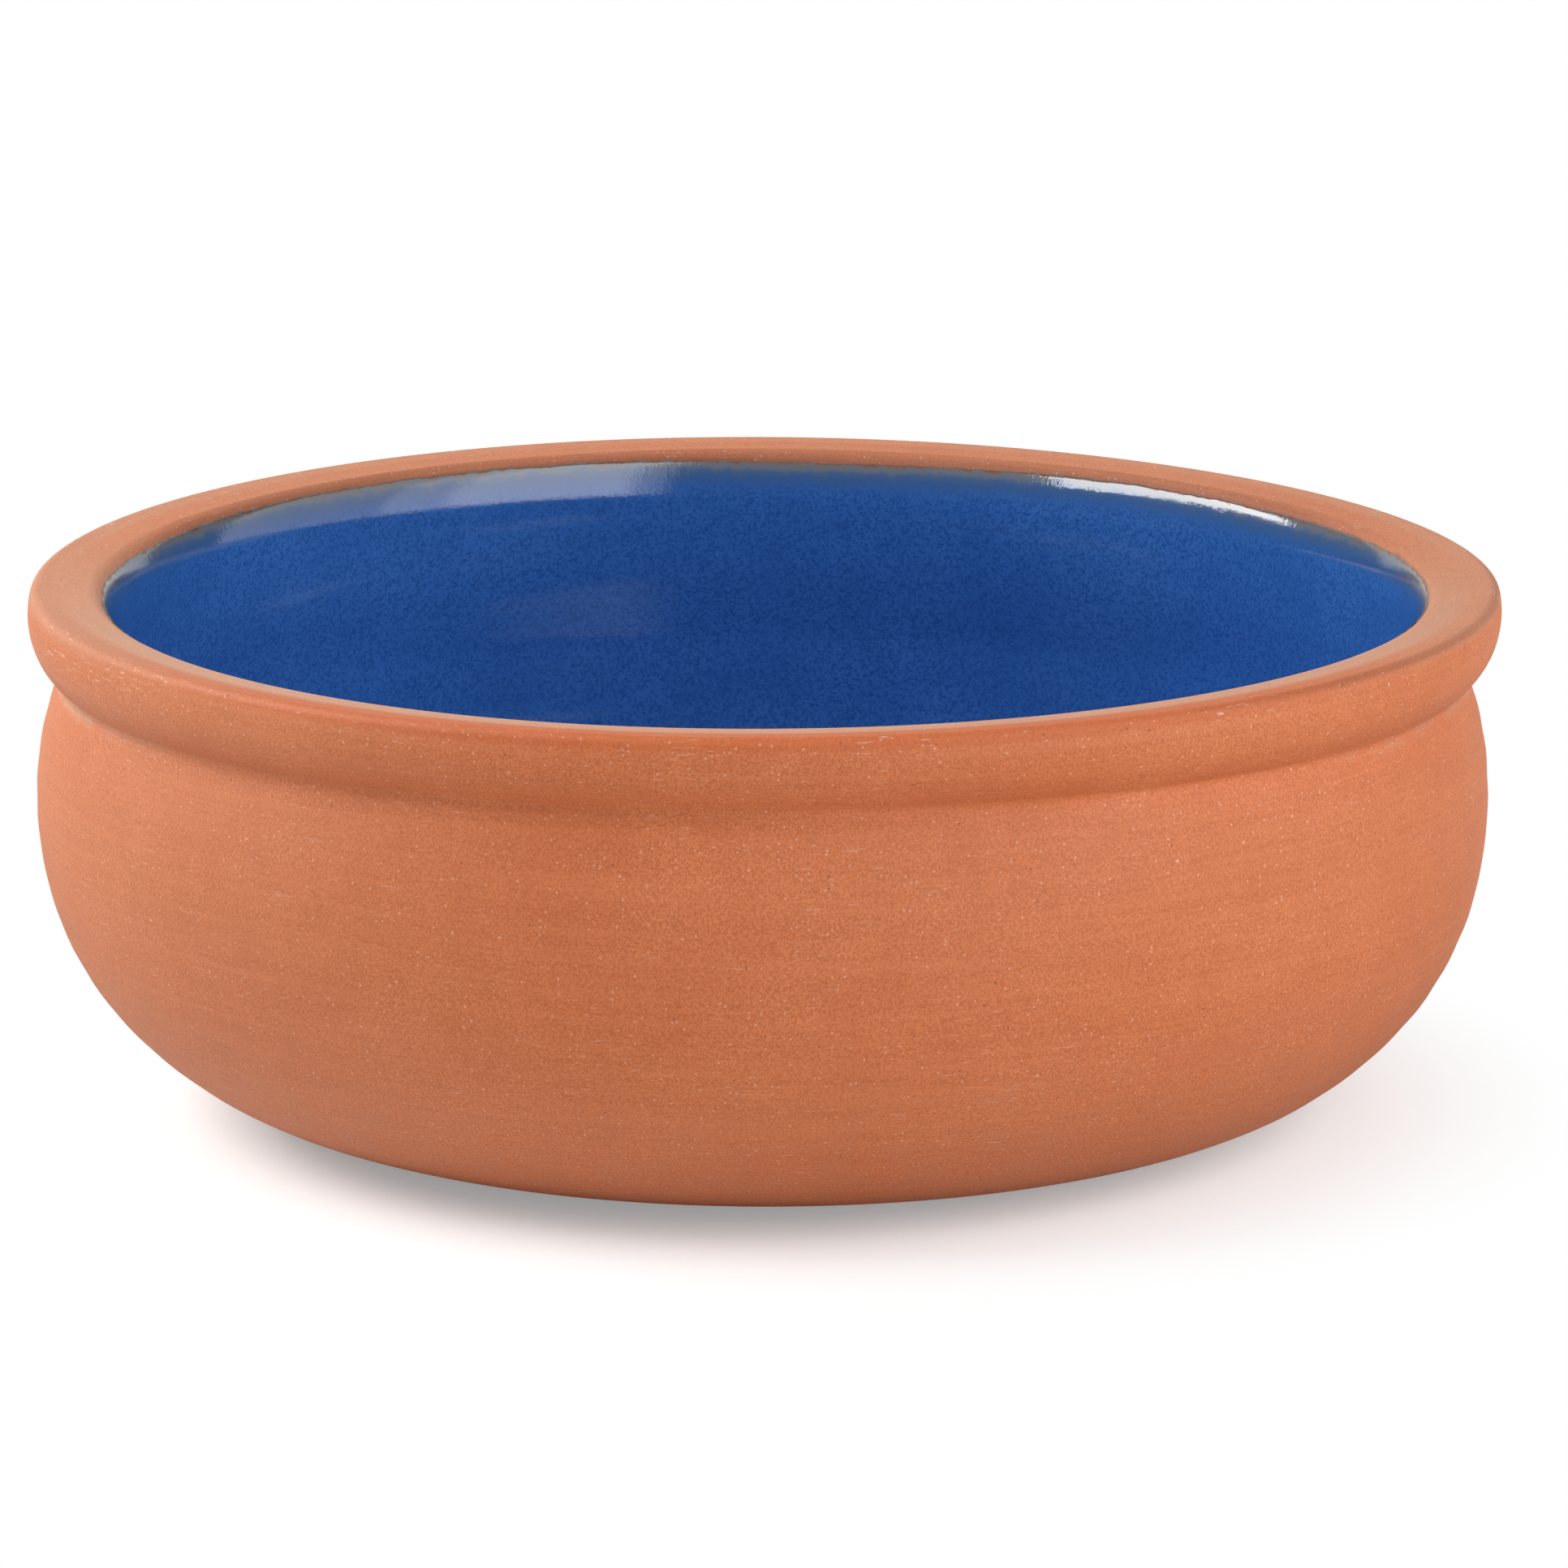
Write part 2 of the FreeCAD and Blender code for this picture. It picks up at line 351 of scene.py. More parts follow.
def warp(radius, angles, height):
    """Places in millimetres of turned points by their radius, angle from the front and height."""
    near_rim = ease(height, *RIM_LIFT_HEIGHTS)
    low, middle, high = CREASE_LIFT_HEIGHTS
    near_crease = np.minimum(ease(height, low, middle), 1 - ease(height, middle, high))
    radius = radius + near_rim * waves_round(RIM_SWELL, angles)
    lift = near_rim * waves_round(RIM_LIFT, angles) + near_crease * waves_round(CREASE_LIFT, angles)
    lean = np.polyval(np.polyfit(LEAN_HEIGHTS, LEAN_OFFSETS, 3), height) * ease(radius, 0, FOOT_RADIUS)
    x = radius * np.sin(angles) + lean
    y = -radius * np.cos(angles)
    return np.stack([x, y, np.maximum(height + lift - SETTLE, 0)], -1)


def skin(section, along, angles, waves, lift=0.0):
    """Points of the clay's surface, or off it by the lift, for each ring and angle, in metres."""
    push = finger_marks(along, angles, waves) * section.read(section.marks, along) + lift
    radius, height = (
        section.read(section.points[:, axis], along) + push * section.read(section.normals[:, axis], along)
        for axis in (0, 1)
    )
    return warp(radius, angles, height) * DRAWN_SCALE * MM


def lathe_mesh(name, rings, values):
    """A closed mesh from rings of points, the first and last of which shrink to a point.

    values holds one number per ring and angle under the name of its attribute.
    """
    count, segments = rings.shape[:2]
    inner_count = (count - 2) * segments
    inner = rings[1:-1].reshape(-1, 3)
    points = np.concatenate([rings[:1].mean(1), inner, rings[-1:].mean(1)])
    last = len(points) - 1
    grid = 1 + np.arange(inner_count).reshape(count - 2, segments)
    beside = np.roll(grid, -1, 1)
    quads = np.stack([grid[:-1], beside[:-1], beside[1:], grid[1:]], -1).reshape(-1, 4)
    faces = quads.tolist()
    faces += [(0, right, left) for left, right in zip(grid[0], beside[0])]
    faces += [(last, left, right) for left, right in zip(grid[-1], beside[-1])]
    mesh = bpy.data.meshes.new(name)
    mesh.from_pydata(points.tolist(), [], faces)
    for title, table in values.items():
        flat = np.concatenate([table[:1].mean(1), table[1:-1].ravel(), table[-1:].mean(1)])
        attribute = mesh.attributes.new(title, "FLOAT", "POINT")
        attribute.data.foreach_set("value", flat.astype(np.float32))
    mesh.shade_smooth()
    mesh.update()
    return mesh


def add_piece(name, mesh, material):
    """Shows the mesh in place of the bowl, in one of its two finishes."""
    piece = bpy.data.objects.new(name, mesh)
    bpy.context.scene.collection.objects.link(piece)
    mesh.materials.append(material)
    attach(piece, "root")
    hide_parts("bowl")


def full_turn(segments):
    return np.linspace(0, math.tau, segments, endpoint=False)


def make_clay(section, waves):
    """The whole dish of fired clay."""
    along = section.rings()[:, None]
    angles = full_turn(CLAY_SEGMENTS)[None, :]
    rings = skin(section, along, angles, waves)
    mesh = lathe_mesh("clay_body", rings, {"along": np.broadcast_to(along, rings.shape[:2])})
    add_piece("clay_body", mesh, clay_material(section.start))


def ragged_edge(angles, draw):
    """How far the glaze's edge lies below its mean place at each angle."""
    middle, spread, dip = GLAZE_DIP
    edge = dip * np.exp(-((np.degrees(angles) - middle) / spread) ** 2)
    for turns_in_circle, size in EDGE_WAVES:
        for turns in turns_in_circle:
            height = size * draw.uniform(*EDGE_WAVE_SIZES)
            edge += height * np.cos(turns * angles + draw.uniform(0, math.tau))
    return edge


def glaze_lift(depth):
    """How high the glaze's face stands off the clay, by the distance from its edge."""
    near = np.clip(1 - depth / GLAZE_EDGE_ROUND, 0, 1)
    rounding = np.sqrt(1 - near ** 2)
    place, spread, height = GLAZE_BEAD
    bead = height * np.exp(-((depth - place) / spread) ** 2)
    return (GLAZE_THICKNESS + GLAZE_SINK) * rounding + bead - GLAZE_SINK


def make_glaze(section, waves, draw):
    """The thin coat of fired glaze on the inside, closed at its back."""
    angles = full_turn(GLAZE_SEGMENTS)[None, :]
    first = section.start["lip"] + GLAZE_START + ragged_edge(angles, draw)
    reach = section.length - section.start["lip"] - GLAZE_START
    edge_zone = GLAZE_EDGE_ROUND * (1 - np.cos(np.linspace(0, math.pi / 2, EDGE_RINGS)))
    bead_zone = np.linspace(GLAZE_EDGE_ROUND, BEAD_ZONE_END, BEAD_RINGS)[1:]
    wall_zone = np.linspace(BEAD_ZONE_END, WALL_ZONE_END, WALL_RINGS)[1:]
    floor_zone = np.linspace(WALL_ZONE_END, reach, FLOOR_RINGS)[1:]
    face_depths = np.concatenate([edge_zone, bead_zone, wall_zone, floor_zone])[:, None]
    back_zone = np.linspace(BACK_START, reach, BACK_RINGS)
    back_depths = np.concatenate([BACK_EDGE_DEPTHS, back_zone])[:, None]
    left = (section.length - first) / reach
    face = skin(section, first + face_depths * left, angles, waves, glaze_lift(face_depths))
    back = skin(section, first + back_depths * left, angles, waves, -GLAZE_BACK)
    rings = np.concatenate([back[::-1], face])
    depths = np.broadcast_to(np.concatenate([back_depths[::-1], face_depths]), rings.shape[:2])
    mesh = lathe_mesh("glaze_coat", rings, {"edge_depth": depths})
    add_piece("glaze_coat", mesh, glaze_material())


class Graph:
    """Adds nodes to one tree, with their settings and inputs, and links them."""

    def __init__(self, tree):
        self.tree = tree

    def add(self, kind, inputs=None, **settings):
        node = self.tree.nodes.new(kind)
        for name, value in settings.items():
            setattr(node, name, value)
        for key, value in (inputs or {}).items():
            if isinstance(value, bpy.types.NodeSocket):
                self.link(value, node.inputs[key])
            else:
                node.inputs[key].default_value = value
        return node

    def sum(self, first, second):
        return self.add("ShaderNodeMath", {0: first, 1: second}, operation="ADD").outputs[0]

    def product(self, first, second):
        return self.add("ShaderNodeMath", {0: first, 1: second}, operation="MULTIPLY").outputs[0]

    def absolute(self, value):
        return self.add("ShaderNodeMath", {0: value}, operation="ABSOLUTE").outputs[0]

    def ratio(self, first, second):
        return self.add("ShaderNodeMath", {0: first, 1: second}, operation="DIVIDE").outputs[0]

    def parts(self, vector):
        return self.add("ShaderNodeSeparateXYZ", {0: vector}).outputs

    def span(self, value, low, high, to_low=0.0, to_high=1.0):
        """The value's place between low and high, eased and held at both ends."""
        node = self.add("ShaderNodeMapRange", {
            "Value": value,
            "From Min": low,
            "From Max": high,
            "To Min": to_low,
            "To Max": to_high,
        }, interpolation_type="SMOOTHSTEP")
        return node.outputs["Result"]

    def mix(self, share, first, second):
        """The first colour with a share of the second mixed in."""
        node = self.add("ShaderNodeMix", data_type="RGBA")
        for key, value in ((0, share), (6, first), (7, second)):
            if isinstance(value, bpy.types.NodeSocket):
                self.link(value, node.inputs[key])
            elif key:
                node.inputs[key].default_value = (*value, 1.0)
            else:
                node.inputs[key].default_value = value
        return node.outputs[2]

    def link(self, value, socket):
        self.tree.links.new(value, socket)

    def emboss(self, shader, heights):
        """Gives the shader a bump from pairs of a texture and its height in millimetres."""
        total = self.product(*heights[0])
        for texture, height in heights[1:]:
            total = self.sum(total, self.product(texture, height))
        bump = self.add("ShaderNodeBump", {"Height": total, "Distance": MM, "Strength": 1.0})
        self.link(bump.outputs[0], shader.inputs["Normal"])

    def attribute(self, name):
        return self.add("ShaderNodeAttribute", attribute_name=name).outputs["Fac"]

    def use(self, group, **inputs):
        """The output of a shader group, with its inputs set by their names."""
        node = self.add("ShaderNodeGroup", node_tree=group)
        for name, value in inputs.items():
            socket = node.inputs[name.replace("_", " ").capitalize()]
            if isinstance(value, bpy.types.NodeSocket):
                self.link(value, socket)
            else:
                socket.default_value = value
        return node.outputs[0]


def new_group(name, inputs, output):
    """An empty shader group with float inputs and one float output; its graph and its ends."""
    tree = bpy.data.node_groups.new(name, "ShaderNodeTree")
    for title, value in inputs.items():
        socket = tree.interface.new_socket(title, in_out="INPUT", socket_type="NodeSocketFloat")
        socket.default_value = value
    tree.interface.new_socket(output, in_out="OUTPUT", socket_type="NodeSocketFloat")
    graph = Graph(tree)
    given = graph.add("NodeGroupInput").outputs
    result = graph.add("NodeGroupOutput").inputs[0]
    return tree, graph, given, result


def millimetres(graph):
    """The place on the object in millimetres."""
    place = graph.add("ShaderNodeTexCoord").outputs["Object"]
    return graph.add("ShaderNodeVectorMath", {0: place, "Scale": 1 / MM}, operation="SCALE").outputs[0]


def degrees_round(graph):
    """The angle round the axis, from the front towards the right, in degrees."""
    parts = graph.parts(millimetres(graph))
    away = graph.product(parts["Y"], -1.0)
    angle = graph.add("ShaderNodeMath", {0: parts["X"], 1: away}, operation="ARCTAN2").outputs[0]
    return graph.product(angle, math.degrees(1))


def mottle_group():
    """Cloudy variation about 0.5: the size of its clouds in millimetres and how rough they are."""
    tree, graph, given, result = new_group("mottle", {"Size": 10.0, "Detail": 3.0, "Seed": 0.0}, "Shade")
    noise = graph.add("ShaderNodeTexNoise", {
        "Vector": millimetres(graph),
        "W": given["Seed"],
        "Scale": graph.ratio(1.0, given["Size"]),
        "Detail": given["Detail"],
        "Roughness": 0.6,
    }, noise_dimensions="4D")
    graph.link(noise.outputs["Fac"], result)
    return tree


# The smallest and largest speck as shares of the given size, and how much of one is solid.
SPECK_SIZES = (0.5, 1.3)
SPECK_CORE = 0.6


def specks_group():
    """Scattered round specks: spacing and size in millimetres, and the share of places with one."""
    inputs = {"Spacing": 2.0, "Size": 0.3, "Share": 0.3, "Seed": 0.0}
    tree, graph, given, result = new_group("specks", inputs, "Mask")
    shift = graph.add("ShaderNodeCombineXYZ", {"X": given["Seed"], "Y": given["Seed"]}).outputs[0]
    place = graph.add("ShaderNodeVectorMath", {0: millimetres(graph), 1: shift}, operation="ADD").outputs[0]
    scale = graph.ratio(1.0, given["Spacing"])
    cells = graph.add("ShaderNodeTexVoronoi", {"Vector": place, "Scale": scale})
    random_values = graph.add("ShaderNodeSeparateColor", {0: cells.outputs["Color"]}).outputs
    radius = graph.product(given["Size"], 0.5)
    own_radius = graph.product(radius, graph.span(random_values[1], 0, 1, *SPECK_SIZES))
    distance = graph.product(cells.outputs["Distance"], given["Spacing"])
    inside = graph.span(distance, own_radius, graph.product(own_radius, SPECK_CORE))
    draw = {0: random_values[0], 1: given["Share"]}
    chosen = graph.add("ShaderNodeMath", draw, operation="LESS_THAN")
    graph.link(graph.product(inside, chosen.outputs[0]), result)
    return tree


def turning_group():
    """Fine lines left by turning: height about 0.5, by the distance along the section."""
    inputs = {"Along": 0.0, "Pitch": 0.6, "Drift": 0.02, "Seed": 0.0}
    tree, graph, given, result = new_group("turning_lines", inputs, "Height")
    parts = graph.parts(millimetres(graph))
    place = graph.add("ShaderNodeCombineXYZ", {
        "X": graph.ratio(given["Along"], given["Pitch"]),
        "Y": graph.product(parts["X"], given["Drift"]),
        "Z": graph.product(parts["Y"], given["Drift"]),
    })
    noise = graph.add("ShaderNodeTexNoise", {
        "Vector": place.outputs[0],
        "W": given["Seed"],
        "Scale": 1.0,
        "Detail": 2.0,
        "Roughness": 0.55,
    }, noise_dimensions="4D")
    graph.link(noise.outputs["Fac"], result)
    return tree


def scuffs_group():
    """Sparse marks in patches. Across and Round are their cells for each millimetre."""
    inputs = {"Along": 0.0, "Across": 2.4, "Round": 0.32, "Seed": 0.0}
    tree, graph, given, result = new_group("scuffs", inputs, "Mask")
    parts = graph.parts(millimetres(graph))
    place = graph.add("ShaderNodeCombineXYZ", {
        "X": graph.product(given["Along"], given["Across"]),
        "Y": graph.product(parts["X"], given["Round"]),
        "Z": graph.product(parts["Y"], given["Round"]),
    })
    streaks = graph.add("ShaderNodeTexNoise", {
        "Vector": place.outputs[0],
        "W": given["Seed"],
        "Scale": 1.0,
        "Detail": 3.0,
        "Roughness": 0.6,
    }, noise_dimensions="4D").outputs["Fac"]
    patches = graph.use(MOTTLE, size=16.0, detail=1.0, seed=61.0)
    mask = graph.product(graph.span(streaks, 0.58, 0.72), graph.span(patches, 0.5, 0.62))
    graph.link(mask, result)
    return tree


MOTTLE = mottle_group()
SPECKS = specks_group()
TURNING = turning_group()
SCUFFS = scuffs_group()

# Base colours of the two finishes, in linear light.
CLAY_TONE = (0.61, 0.181, 0.066)
CLAY_PALE = (0.66, 0.214, 0.086)
CLAY_DEEP = (0.43, 0.108, 0.038)
CLAY_SPECK = (0.80, 0.55, 0.42)
CLAY_PIT = (0.25, 0.09, 0.04)
# A pale tone for dust, and for painted light where the clay is paler on its lit sides.
CLAY_DUST_AND_LIGHT = (0.56, 0.40, 0.29)
# A pale rim top: wear, and painted sheen.
CLAY_WORN_AND_SHEEN = (0.58, 0.46, 0.34)
# A darker red: painted shade on the front of the rim's outer top.
CLAY_SHADED_TOP = (0.52, 0.105, 0.026)
# A dark brown: stain beside the glaze, and painted shade at the foot and along the rim's outer edge.
CLAY_STAIN_AND_SHADE = (0.15, 0.042, 0.022)
COBALT = (0.030, 0.122, 0.390)
COBALT_PALE = (0.043, 0.152, 0.445)
COBALT_DEEP = (0.020, 0.084, 0.290)


def new_material(name):
    """An empty material with its graph and its one shader."""
    material = bpy.data.materials.new(name)
    material.use_nodes = True
    material.node_tree.nodes.clear()
    graph = Graph(material.node_tree)
    shader = graph.add("ShaderNodeBsdfPrincipled")
    output = graph.add("ShaderNodeOutputMaterial")
    graph.link(shader.outputs[0], output.inputs["Surface"])
    return material, graph, shader


# Where the clay's finishes lie. A range goes from where its finish is weakest to where it is
# strongest, and may end with its weakest and strongest share. A turn is in degrees from the
# front, with the right positive, or to either side alike. A height is in millimetres from the
# foot, and a place is in millimetres along the section, past the start of its stretch.
# Painted light: the clay is paler on both sides, where the side lamps fall, and less so towards the back.
LEFT_LIT_TURN = (-5.0, -60.0, 0.0, 0.11)
RIGHT_LIT_TURN = (50.0, 85.0, 0.0, 0.05)
LIT_SIDES_BACK_TURN = (175.0, 120.0)
LOW_DUST_HEIGHT = (36.0, 8.0)
LOW_DUST_PATCHES = (0.25, 0.7, 0.03, 0.12)
CREASE_DUST_PLACE = 0.8
CREASE_DUST_REACH = (2.2, 0.3)
CREASE_DUST_TURN = (40.0, 75.0, 0.0, 0.6)
CREASE_DUST_LINES = (0.35, 0.7, 0.2, 1.0)
CREASE_DUST_PATCHES = (0.4, 0.6)
RIM_TOP_HEIGHT = (69.8, 71.3)
OUTER_TOP_PLACE = (-2.4, -4.6)
# Painted sheen and wear: the rim's top is paler on its inner part towards the front and on its outer part
# on the sides.
INNER_SHEEN_AND_WEAR_PLACE = (-4.6, -2.4)
INNER_SHEEN_AND_WEAR_TURN = (130.0, 50.0, 0.0, 0.42)
OUTER_SHEEN_AND_WEAR_TURN = (35.0, 75.0, 0.0, 0.2)
BACK_DUST_PLACE = (-4.5, -1.5)
BACK_DUST_TURN = (105.0, 145.0, 0.0, 0.14)
# Painted shade: the outer part of the rim's top is darker and redder towards the front.
SHADED_TOP_TURN = (75.0, 30.0, 0.0, 0.45)
LIP_STAIN_PLACE = (-0.2, 0.7, 0.0, 0.34)
EDGE_STAIN_PLACE = (1.0, 2.8, 0.0, 0.38)
STAIN_LINES = (0.3, 0.75, 1.1, 0.75)
STAIN_TURN = (98.0, 128.0)
# Painted shade: the clay darkens towards the foot.
FOOT_SHADE_HEIGHT = (9.0, 3.0, 0.0, 0.3)
EDGE_PLACE = 0.9
# Painted shade: a dark line along the rim's outer edge, on the right.
EDGE_SHADE_REACH = (1.3, 0.2)
EDGE_SHADE_START = (25.0, 55.0)
EDGE_SHADE_END = (110.0, 88.0, 0.0, 0.28)
EDGE_SCUFF_REACH = (3.0, 0.4, 0.25, 0.7)
LEFT_SCUFF_REACH = (7.0, 3.0, 0.0, 0.5)
LEFT_SCUFF_TURN = (-45.0, -65.0)
FINE_SPECK_SHARE = 0.32
PALE_SPECK_SHARE = 0.5
PIT_SHARE = 0.55


def dust_and_lit_sides(graph, colour, along, starts, lines, patches):
    """The colour paler on the sides, painted light where the side lamps fall, and with pale dust low on the
    flank and in the crease.
    """
    angle = degrees_round(graph)
    turned = graph.absolute(angle)
    # Painted light: paler on the sides, where the side lamps fall.
    side = graph.sum(graph.span(angle, *LEFT_LIT_TURN), graph.span(angle, *RIGHT_LIT_TURN))
    side = graph.product(side, graph.span(turned, *LIT_SIDES_BACK_TURN))
    height = graph.parts(millimetres(graph))["Z"]
    low = graph.product(graph.span(height, *LOW_DUST_HEIGHT), graph.span(patches, *LOW_DUST_PATCHES))
    colour = graph.mix(graph.sum(side, low), colour, CLAY_DUST_AND_LIGHT)
    off_crease = graph.absolute(graph.sum(along, -starts["crease"] - CREASE_DUST_PLACE))
    in_crease = graph.product(
        graph.span(off_crease, *CREASE_DUST_REACH),
        graph.span(turned, *CREASE_DUST_TURN),
    )
    in_crease = graph.product(in_crease, graph.span(lines, *CREASE_DUST_LINES))
    in_crease = graph.product(in_crease, graph.span(patches, *CREASE_DUST_PATCHES))
    return graph.mix(in_crease, colour, CLAY_DUST_AND_LIGHT)


def rim_sheen_stain_and_shade(graph, colour, along, starts, lines):
    """The colour with painted sheen and wear on the rim's top, painted shade on its front outer part, brown
    stain beside the glaze, and painted shade at the foot.
    """
    turned = graph.absolute(degrees_round(graph))
    height = graph.parts(millimetres(graph))["Z"]
    inward = graph.sum(along, -starts["lip"])
    outer_top = graph.product(graph.span(inward, *OUTER_TOP_PLACE), graph.span(height, *RIM_TOP_HEIGHT))
    # Painted sheen and wear on the rim's top.
    inner_sheen_and_wear = graph.product(
        graph.span(inward, *INNER_SHEEN_AND_WEAR_PLACE),
        graph.span(turned, *INNER_SHEEN_AND_WEAR_TURN),
    )
    outer_sheen_and_wear = graph.product(outer_top, graph.span(turned, *OUTER_SHEEN_AND_WEAR_TURN))
    colour = graph.mix(graph.sum(inner_sheen_and_wear, outer_sheen_and_wear), colour, CLAY_WORN_AND_SHEEN)
    back_dust = graph.product(graph.span(inward, *BACK_DUST_PLACE), graph.span(turned, *BACK_DUST_TURN))
    colour = graph.mix(back_dust, colour, CLAY_DUST_AND_LIGHT)
    # Painted shade on the front of the rim's outer top.
    colour = graph.mix(graph.product(outer_top, graph.span(turned, *SHADED_TOP_TURN)), colour, CLAY_SHADED_TOP)
    stain_and_shade = graph.sum(graph.span(inward, *LIP_STAIN_PLACE), graph.span(inward, *EDGE_STAIN_PLACE))
    stain_and_shade = graph.product(stain_and_shade, graph.span(lines, *STAIN_LINES))
    stain_and_shade = graph.product(stain_and_shade, graph.span(turned, *STAIN_TURN))
    # Painted shade: darker towards the foot.
    stain_and_shade = graph.sum(stain_and_shade, graph.span(height, *FOOT_SHADE_HEIGHT))
    return graph.mix(stain_and_shade, colour, CLAY_STAIN_AND_SHADE)


def marked_edge(graph, colour, along, starts):
    """The colour with a painted shade line and pale scuffs along the rim's outer edge."""
    angle = degrees_round(graph)
    off_edge = graph.absolute(graph.sum(along, -starts["rim_edge"] - EDGE_PLACE))
    # Painted shade: a dark line along the outer edge, on the right.
    painted_shade_line = graph.product(graph.span(angle, *EDGE_SHADE_START), graph.span(angle, *EDGE_SHADE_END))
    painted_shade_line = graph.product(painted_shade_line, graph.span(off_edge, *EDGE_SHADE_REACH))
    colour = graph.mix(painted_shade_line, colour, CLAY_STAIN_AND_SHADE)
    at_left = graph.product(graph.span(angle, *LEFT_SCUFF_TURN), graph.span(off_edge, *LEFT_SCUFF_REACH))
    near_edge = graph.sum(graph.span(off_edge, *EDGE_SCUFF_REACH), at_left)
    scuffs = graph.product(graph.use(SCUFFS, along=along, seed=7.0), near_edge)
    return graph.mix(scuffs, colour, CLAY_SPECK)


def clay_material(starts):
    """Bare fired clay: matt, grainy, with pale and dark specks and fine turning lines.

    starts holds where each stretch of the section starts, in millimetres along it.
    """
    material, graph, shader = new_material("terracotta")
    along = graph.attribute("along")
    clouds = graph.use(MOTTLE, size=28.0, detail=3.0, seed=1.0)
    patches = graph.use(MOTTLE, size=5.0, detail=4.0, seed=2.0)
    grain = graph.use(MOTTLE, size=0.30, detail=1.0, seed=3.0)
    lines = graph.use(TURNING, along=along, pitch=0.9, drift=0.025, seed=4.0)
    colour = graph.mix(graph.span(clouds, 0.3, 0.7), CLAY_TONE, CLAY_PALE)
    colour = graph.mix(graph.span(patches, 0.35, 0.75, to_high=0.25), colour, CLAY_DEEP)
    colour = graph.mix(graph.span(grain, 0.38, 0.62, to_high=0.7), colour, CLAY_DEEP)
    colour = graph.mix(graph.span(lines, 0.35, 0.75, to_high=0.3), colour, CLAY_PALE)
    colour = dust_and_lit_sides(graph, colour, along, starts, lines, patches)
    colour = rim_sheen_stain_and_shade(graph, colour, along, starts, lines)
    colour = marked_edge(graph, colour, along, starts)
    fine_specks = graph.use(SPECKS, spacing=0.75, size=0.36, share=0.34, seed=17.0)
    pale_specks = graph.use(SPECKS, spacing=2.2, size=0.40, share=0.16, seed=5.0)
    pits = graph.use(SPECKS, spacing=1.5, size=0.36, share=0.24, seed=31.0)
    colour = graph.mix(graph.product(fine_specks, FINE_SPECK_SHARE), colour, CLAY_SPECK)
    colour = graph.mix(graph.product(pale_specks, PALE_SPECK_SHARE), colour, CLAY_SPECK)
    colour = graph.mix(graph.product(pits, PIT_SHARE), colour, CLAY_PIT)
    graph.link(colour, shader.inputs["Base Color"])
    graph.emboss(shader, [(lines, 0.03), (grain, 0.05), (pits, -0.08)])
    shader.inputs["Roughness"].default_value = 0.6
    shader.inputs["Specular IOR Level"].default_value = 0.18
    return material


# The glaze's colour by the distance from its edge in millimetres, where it passes into the
# cobalt, and how far patches shift it. Streaks have cells for each millimetre round the dish
# and away from the edge, and lie only near it.
FRINGE = (
    (0.0, (0.15, 0.085, 0.055)),
    (0.5, (0.170, 0.142, 0.128)),
    (1.1, (0.135, 0.160, 0.205)),
    (1.7, (0.068, 0.122, 0.235)),
    (2.4, (0.045, 0.108, 0.260)),
    (3.6, (0.037, 0.112, 0.310)),
    (5.2, (0.030, 0.117, 0.370)),
)
FRINGE_DEPTH = FRINGE[-1][0]
FRINGE_END = (2.4, FRINGE_DEPTH)
FRINGE_SHIFT = 2.0
EDGE_FEATHER = (-0.15, 0.55)
STREAKS_ROUND = 1.4
STREAKS_INWARD = 0.7
STREAKS_DEPTH = (5.0, 0.5)


def fringe_colour(graph, depth, shift):
    """The glaze's colour near its edge, by the depth and its shift."""
    place = graph.product(graph.sum(depth, shift), 1 / FRINGE_DEPTH)
    fringe = graph.add("ShaderNodeValToRGB", {0: place})
    stops = fringe.color_ramp.elements
    for number, (distance, tone) in enumerate(FRINGE):
        stop = stops[number] if number < 2 else stops.new(1.0)
        stop.position = distance / FRINGE_DEPTH
        stop.color = (*tone, 1.0)
    return fringe.outputs[0]


def edge_streaks(graph, depth):
    """Fine streaks that run down from the glaze's edge."""
    parts = graph.parts(millimetres(graph))
    drawn = graph.add("ShaderNodeCombineXYZ", {
        "X": graph.product(parts["X"], STREAKS_ROUND),
        "Y": graph.product(parts["Y"], STREAKS_ROUND),
        "Z": graph.product(depth, STREAKS_INWARD),
    }).outputs[0]
    streaks = graph.add("ShaderNodeTexNoise", {"Vector": drawn, "Scale": 1.0, "Detail": 2.0})
    return graph.product(streaks.outputs["Fac"], graph.span(depth, *STREAKS_DEPTH))


def glaze_material():
    """Cobalt glaze: glossy, thin and brown at its edge, finely mottled."""
    material, graph, shader = new_material("cobalt_glaze")
    depth = graph.attribute("edge_depth")
    clouds = graph.use(MOTTLE, size=22.0, detail=3.0, seed=11.0)
    fine = graph.use(MOTTLE, size=0.42, detail=2.0, seed=12.0)
    ragged = graph.sum(graph.use(MOTTLE, size=2.2, detail=3.0, seed=13.0), -0.5)
    lines = graph.use(TURNING, along=depth, pitch=2.2, drift=0.03, seed=14.0)
    colour = graph.mix(graph.span(clouds, 0.3, 0.7), COBALT, COBALT_PALE)
    colour = graph.mix(graph.span(fine, 0.4, 0.66, to_high=0.95), colour, COBALT_DEEP)
    fringe = fringe_colour(graph, depth, graph.product(ragged, FRINGE_SHIFT))
    colour = graph.mix(graph.span(depth, *FRINGE_END), fringe, colour)
    graph.link(colour, shader.inputs["Base Color"])
    graph.link(graph.span(graph.sum(depth, ragged), *EDGE_FEATHER), shader.inputs["Alpha"])
    graph.emboss(shader, [(fine, 0.013), (lines, 0.01), (edge_streaks(graph, depth), 0.02)])
    shader.inputs["Roughness"].default_value = 0.07
    return material


